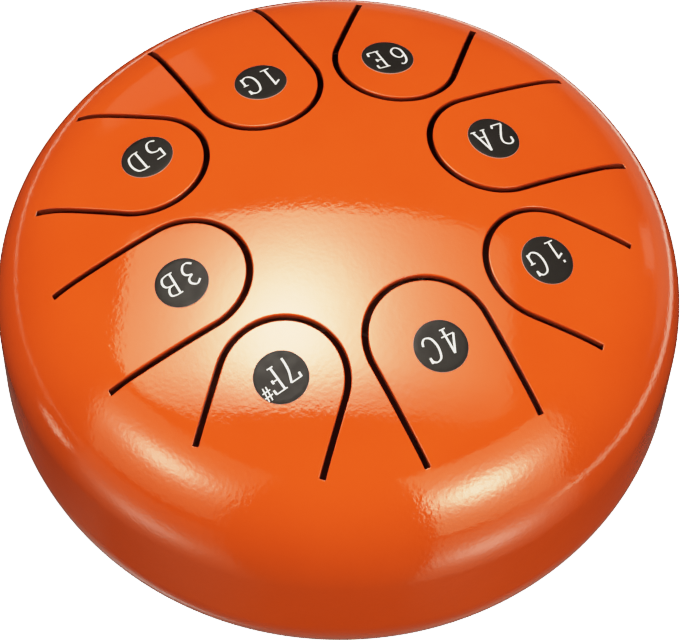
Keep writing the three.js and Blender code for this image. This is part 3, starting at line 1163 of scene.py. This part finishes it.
def soft_box(name, place, turned, size, lamp, spread, glows, dim_edge=1 * mm):
    """A lit cloth. The glows are the cloth's own, its change from side to side for each metre, the halo's
    and the lamp's, which shine through round the lamp's place. Along the lower edge the cloth is dim."""
    cloth_glow, slant, halo_glow, lamp_glow = glows
    glow, spot = new_finish(name)
    narrow = (1 / spread[0], 1 / spread[1], 0)
    centre = (-lamp[0] / spread[0], -lamp[1] / spread[1], 0)
    off = spot.node("VectorMath", {"operation": "MULTIPLY_ADD"}, {0: spot, 1: narrow, 2: centre})
    reach = distance(off, (0, 0, 0))
    halo = reach.node("Math", {"operation": "EXPONENT"}, {0: reach * reach * -0.125})
    core = halo * halo * halo * halo
    colour = mixed(halo, (1, 0.95, 0.72, 1), (1, 0.99, 0.98, 1))
    half_width = size[0] / 2
    half_height = size[1] / 2
    dimmed = between(along(spot, (0, 1, 0)), -half_height, dim_edge - half_height, 0.36, 1)
    aside = along(spot, (1, 0, 0))
    strength = (core * lamp_glow + halo * halo_glow + aside * slant + cloth_glow) * dimmed
    light = spot.node("Emission", {}, {"Color": scaled(colour, strength), "Strength": 1})
    spot.node("OutputMaterial", {}, {"Surface": light})
    mesh = bpy.data.meshes.new(name)
    corners = [(-half_width, -half_height, 0), (half_width, -half_height, 0)]
    corners += [(half_width, half_height, 0), (-half_width, half_height, 0)]
    mesh.from_pydata(corners, [], [(0, 1, 2, 3)])
    cloth = placed(mesh, [glow])
    cloth.matrix_world = Matrix.Translation(place) @ turned
    cloth.visible_camera = False


drum_middle = Vector((0, 0, seam))
side_distance = 1.3
side_lights = [  # azimuth, elevation, twist, size, the lamp's place on the cloth, its spread, and the glows
    ("left_soft_box", -51, 28, 5, (1.05, 1.5), (0.02, 0.02), (0.165, 0.112), (0.46, -0.15, 1.9, 4.2)),
    ("right_soft_box", 49.2, 24, -8, (0.95, 1.55), (-0.13, 0.03), (0.175, 0.13), (0.85, -0.3, 2.6, 7.2)),
    ("left_card", -154, 20, 0, (0.34, 0.26), (0, 0), (0.3, 0.3), (0.3, 0, 0, 0)),
    ("right_card", 123, 2, 0, (0.20, 0.28), (0, 0), (0.3, 0.3), (0.5, 0, 0, 0)),
]
for name, azimuth, elevation, twist, size, lamp, spread, glows in side_lights:
    way = studio_way(azimuth, elevation)
    turned = way.to_track_quat("Z", "Y").to_matrix().to_4x4() @ Matrix.Rotation(radians(twist), 4, "Z")
    soft_box(name, drum_middle + way * side_distance, turned, size, lamp, spread, glows)

overhead_height = 1.0
overhead_place = studio_way(180, 0) * 0.292 - studio_way(90, 0) * 0.09
overhead_place.z = shell_high.z + overhead_height
overhead_turned = Matrix.Rotation(radians(camera_azimuth), 4, "Z")
overhead_size = (1.30, 0.756)
overhead_glows = (0.95, -0.7, 4.2, 8.4)
soft_box(
    "overhead_soft_box", overhead_place, overhead_turned, overhead_size, (-0.06, -0.122), (0.155, 0.21),
    overhead_glows, 0.175,
)

world = bpy.data.worlds.new("studio")
world.use_nodes = True
bpy.context.scene.world = world
world.node_tree.nodes.clear()
way_out = Wire(world.node_tree.nodes.new("ShaderNodeTexCoord").outputs["Generated"])
seen = way_out.node("LightPath", {}, {}, "Is Camera Ray")
soft = way_out.node("LightPath", {}, {}, "Is Diffuse Ray")
# Painted reflection: a low wall behind the drum, a faint band in the room that diffuse light and reflections
# see and the camera doesn't.
low = between(along(way_out, (0, 0, 1)), -0.10, -0.02, 1, 0)
behind = between(along(way_out, -toward), 0.35, 0.5)
to_the_right = between(along(way_out, rightward), -0.1, 0.05)
low_wall = low * behind * to_the_right
# The camera sees an even white backdrop. A dimmer, warmer copy of the room lights the drum, and reflections
# see a dark copy.
room = low_wall * (1 - seen) * 0.15 + seen * 5 + soft * 0.40 + 0.03
air = mixed(seen, (1, 0.9, 0.78, 1), (1, 1, 1, 1))
sky = seen.node("Background", {}, {"Color": scaled(air, room), "Strength": 1})
seen.node("OutputWorld", {}, {"Surface": sky})

view = bpy.context.scene.view_settings
view.view_transform = "Standard"
view.use_curve_mapping = True
film_white = 4
film_curve = [  # light, and how bright it is shown
    (0.06, 0.055),
    (0.14, 0.138),
    (0.25, 0.248),
    (0.5, 0.475),
    (0.86, 0.72),
    (1.2, 0.84),
    (1.8, 0.90),
    (2.6, 0.955),
]
film = view.curve_mapping
film.white_level = (film_white,) * 3
for light, shown in film_curve:
    film.curves[3].points.new(light / film_white, shown)
film.update()
